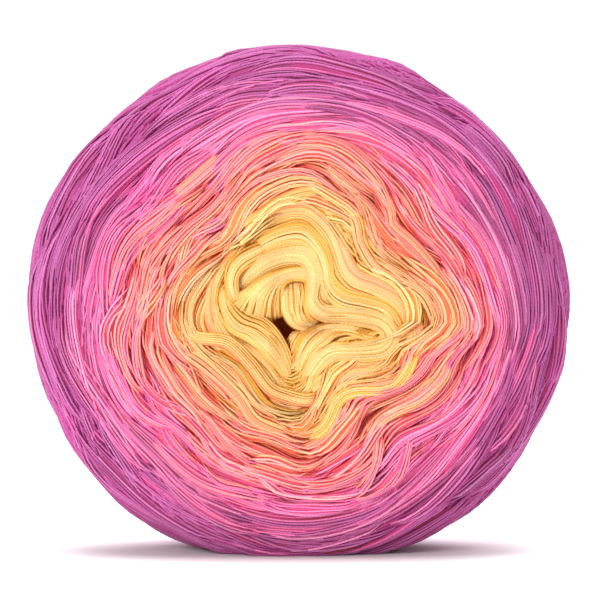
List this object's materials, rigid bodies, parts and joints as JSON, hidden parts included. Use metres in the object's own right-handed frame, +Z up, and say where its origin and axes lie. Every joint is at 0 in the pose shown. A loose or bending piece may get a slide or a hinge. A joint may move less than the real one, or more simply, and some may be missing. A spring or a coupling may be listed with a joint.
{
  "type": "yarn cake",
  "caption": "Round flat cake of fine yarn, wound without a core and standing on its rim; the turns run in wavy rings from a closed-up centre to a rounded rim",
  "frame": {"origin": "on the surface that the cake stands on, under the middle of its outer box", "axes": "+Z up; the axis that the yarn is wound round lies along Y; the end face seen in the picture looks towards -Y; +X to its right"},
  "size_m": [0.1504, 0.0824, 0.1406],
  "materials": {
    "yarn": "matt"
  },
  "bodies": {
    "root": {"wound_yarn": "yarn"}
  },
  "joints": []
}
